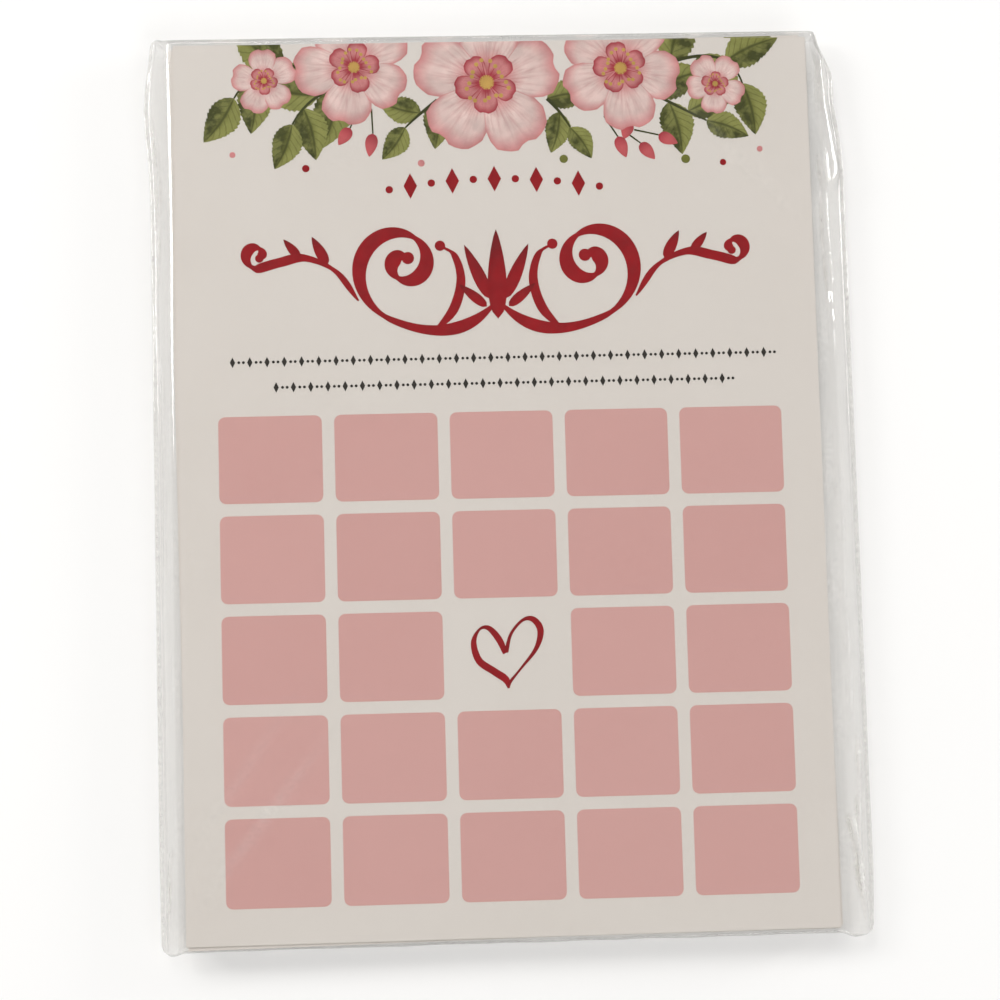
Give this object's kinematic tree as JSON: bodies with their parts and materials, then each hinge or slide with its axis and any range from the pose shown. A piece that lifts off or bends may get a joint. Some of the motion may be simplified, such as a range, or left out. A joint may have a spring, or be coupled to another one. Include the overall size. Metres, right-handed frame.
{
  "type": "bingo card pack",
  "caption": "Sealed pack of printed bingo cards: loose rectangular cards with a square grid round a heart, in a clear film bag with welded sides and a stuck-down flap.",
  "frame": {"origin": "under the middle of the pack's box, on the surface that the back lies on", "axes": "+X to the right of the printed cards, +Y towards their top edges and the bag's mouth, +Z out of the printed faces"},
  "size_m": [0.1396, 0.18, 0.0087],
  "materials": {
    "card_stock": "satin uncoated card stock, printed on the front",
    "clear_film": "clear glossy film",
    "adhesive": "clear pressure-sensitive adhesive"
  },
  "bodies": {
    "bag": {"front_panel": "clear_film", "rear_panel": "clear_film", "rear_lip": "clear_film", "left_front_gusset": "clear_film", "left_rear_gusset": "clear_film", "left_weld": "clear_film", "right_front_gusset": "clear_film", "right_rear_gusset": "clear_film", "right_weld": "clear_film", "bottom_fold": "clear_film"},
    "mouth": {"mouth_band": "clear_film"},
    "flap": {"seal_flap": "clear_film", "seal_strip": "adhesive"},
    "card_01": {"card_01": "card_stock"},
    "card_02": {"card_02": "card_stock"},
    "card_03": {"card_03": "card_stock"},
    "card_04": {"card_04": "card_stock"},
    "card_05": {"card_05": "card_stock"},
    "card_06": {"card_06": "card_stock"},
    "card_07": {"card_07": "card_stock"},
    "card_08": {"card_08": "card_stock"},
    "card_09": {"card_09": "card_stock"},
    "card_10": {"card_10": "card_stock"},
    "card_11": {"card_11": "card_stock"},
    "card_12": {"card_12": "card_stock"},
    "card_13": {"card_13": "card_stock"},
    "card_14": {"card_14": "card_stock"},
    "card_15": {"card_15": "card_stock"},
    "card_16": {"card_16": "card_stock"},
    "card_17": {"card_17": "card_stock"},
    "card_18": {"card_18": "card_stock"},
    "card_19": {"card_19": "card_stock"},
    "card_20": {"card_20": "card_stock"},
    "card_21": {"card_21": "card_stock"},
    "card_22": {"card_22": "card_stock"},
    "card_23": {"card_23": "card_stock"},
    "card_24": {"card_24": "card_stock"}
  },
  "joints": [
    {"name": "bag_mouth_fold", "type": "hinge", "parent": "bag", "child": "mouth", "pos_m": [0, 0.09, 0.00866], "axis": [1, 0, 0], "range_deg": [0, 90]},
    {"name": "bag_flap_fold", "type": "hinge", "parent": "mouth", "child": "flap", "pos_m": [0, 0.09, 0.00005], "axis": [1, 0, 0], "range_deg": [0, 90]},
    {"name": "card_01_draw", "type": "slide", "parent": "bag", "child": "card_01", "axis": [0, 1, 0], "range_m": [0, 0.185], "deforming": ["mouth_band"]},
    {"name": "card_02_draw", "type": "slide", "parent": "bag", "child": "card_02", "axis": [0, 1, 0], "range_m": [0, 0.185], "deforming": ["mouth_band"]},
    {"name": "card_03_draw", "type": "slide", "parent": "bag", "child": "card_03", "axis": [0, 1, 0], "range_m": [0, 0.185], "deforming": ["mouth_band"]},
    {"name": "card_04_draw", "type": "slide", "parent": "bag", "child": "card_04", "axis": [0, 1, 0], "range_m": [0, 0.185], "deforming": ["mouth_band"]},
    {"name": "card_05_draw", "type": "slide", "parent": "bag", "child": "card_05", "axis": [0, 1, 0], "range_m": [0, 0.185], "deforming": ["mouth_band"]},
    {"name": "card_06_draw", "type": "slide", "parent": "bag", "child": "card_06", "axis": [0, 1, 0], "range_m": [0, 0.185], "deforming": ["mouth_band"]},
    {"name": "card_07_draw", "type": "slide", "parent": "bag", "child": "card_07", "axis": [0, 1, 0], "range_m": [0, 0.185], "deforming": ["mouth_band"]},
    {"name": "card_08_draw", "type": "slide", "parent": "bag", "child": "card_08", "axis": [0, 1, 0], "range_m": [0, 0.185], "deforming": ["mouth_band"]},
    {"name": "card_09_draw", "type": "slide", "parent": "bag", "child": "card_09", "axis": [0, 1, 0], "range_m": [0, 0.185], "deforming": ["mouth_band"]},
    {"name": "card_10_draw", "type": "slide", "parent": "bag", "child": "card_10", "axis": [0, 1, 0], "range_m": [0, 0.185], "deforming": ["mouth_band"]},
    {"name": "card_11_draw", "type": "slide", "parent": "bag", "child": "card_11", "axis": [0, 1, 0], "range_m": [0, 0.185], "deforming": ["mouth_band"]},
    {"name": "card_12_draw", "type": "slide", "parent": "bag", "child": "card_12", "axis": [0, 1, 0], "range_m": [0, 0.185], "deforming": ["mouth_band"]},
    {"name": "card_13_draw", "type": "slide", "parent": "bag", "child": "card_13", "axis": [0, 1, 0], "range_m": [0, 0.185], "deforming": ["mouth_band"]},
    {"name": "card_14_draw", "type": "slide", "parent": "bag", "child": "card_14", "axis": [0, 1, 0], "range_m": [0, 0.185], "deforming": ["mouth_band"]},
    {"name": "card_15_draw", "type": "slide", "parent": "bag", "child": "card_15", "axis": [0, 1, 0], "range_m": [0, 0.185], "deforming": ["mouth_band"]},
    {"name": "card_16_draw", "type": "slide", "parent": "bag", "child": "card_16", "axis": [0, 1, 0], "range_m": [0, 0.185], "deforming": ["mouth_band"]},
    {"name": "card_17_draw", "type": "slide", "parent": "bag", "child": "card_17", "axis": [0, 1, 0], "range_m": [0, 0.185], "deforming": ["mouth_band"]},
    {"name": "card_18_draw", "type": "slide", "parent": "bag", "child": "card_18", "axis": [0, 1, 0], "range_m": [0, 0.185], "deforming": ["mouth_band"]},
    {"name": "card_19_draw", "type": "slide", "parent": "bag", "child": "card_19", "axis": [0, 1, 0], "range_m": [0, 0.185], "deforming": ["mouth_band"]},
    {"name": "card_20_draw", "type": "slide", "parent": "bag", "child": "card_20", "axis": [0, 1, 0], "range_m": [0, 0.185], "deforming": ["mouth_band"]},
    {"name": "card_21_draw", "type": "slide", "parent": "bag", "child": "card_21", "axis": [0, 1, 0], "range_m": [0, 0.185], "deforming": ["mouth_band"]},
    {"name": "card_22_draw", "type": "slide", "parent": "bag", "child": "card_22", "axis": [0, 1, 0], "range_m": [0, 0.185], "deforming": ["mouth_band"]},
    {"name": "card_23_draw", "type": "slide", "parent": "bag", "child": "card_23", "axis": [0, 1, 0], "range_m": [0, 0.185], "deforming": ["mouth_band"]},
    {"name": "card_24_draw", "type": "slide", "parent": "bag", "child": "card_24", "axis": [0, 1, 0], "range_m": [0, 0.185], "deforming": ["mouth_band"]}
  ],
  "couplings": [
    {"joint": "bag_flap_fold", "follows": "bag_mouth_fold", "ratio": 1}
  ]
}
